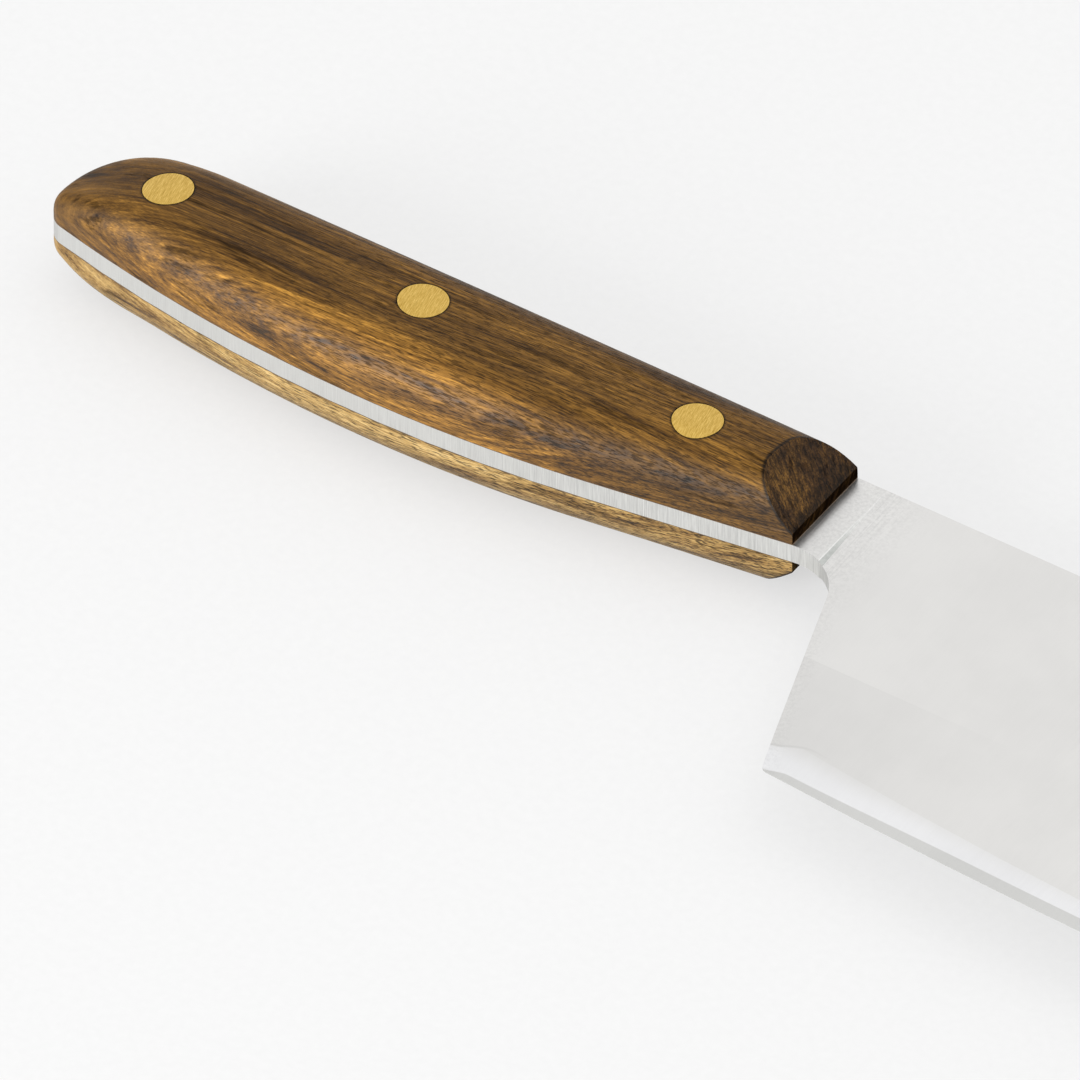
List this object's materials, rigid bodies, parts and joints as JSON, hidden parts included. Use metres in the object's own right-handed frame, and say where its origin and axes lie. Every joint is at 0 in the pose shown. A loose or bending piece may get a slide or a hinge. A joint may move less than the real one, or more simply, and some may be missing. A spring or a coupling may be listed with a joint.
{
  "type": "chef knife",
  "caption": "Full-tang kitchen knife for slicing and chopping: deep pointed steel blade, wooden handle scales glued to the tang and held by flush brass rivets.",
  "frame": {"origin": "bottom centre of the bounding box, with the knife lying on its left side", "axes": "+X along the knife from the butt to the tip, +Y from the cutting edge to the spine, +Z from the left side of the knife up to its right side"},
  "size_m": [0.3274, 0.0522, 0.0181],
  "materials": {
    "steel": "satin, fine brushing across the tang and the blade",
    "wood": "oiled brown hardwood with golden streaks",
    "brass": "ground flush, finely brushed",
    "epoxy": "cured epoxy, dull"
  },
  "bodies": {
    "root": {"blade": "steel", "right_scale": "wood", "left_scale": "wood", "right_film": "epoxy", "left_film": "epoxy", "rivet_stud_front": "brass", "rivet_socket_front": "brass", "rivet_stud_middle": "brass", "rivet_socket_middle": "brass", "rivet_stud_rear": "brass", "rivet_socket_rear": "brass"}
  },
  "joints": []
}
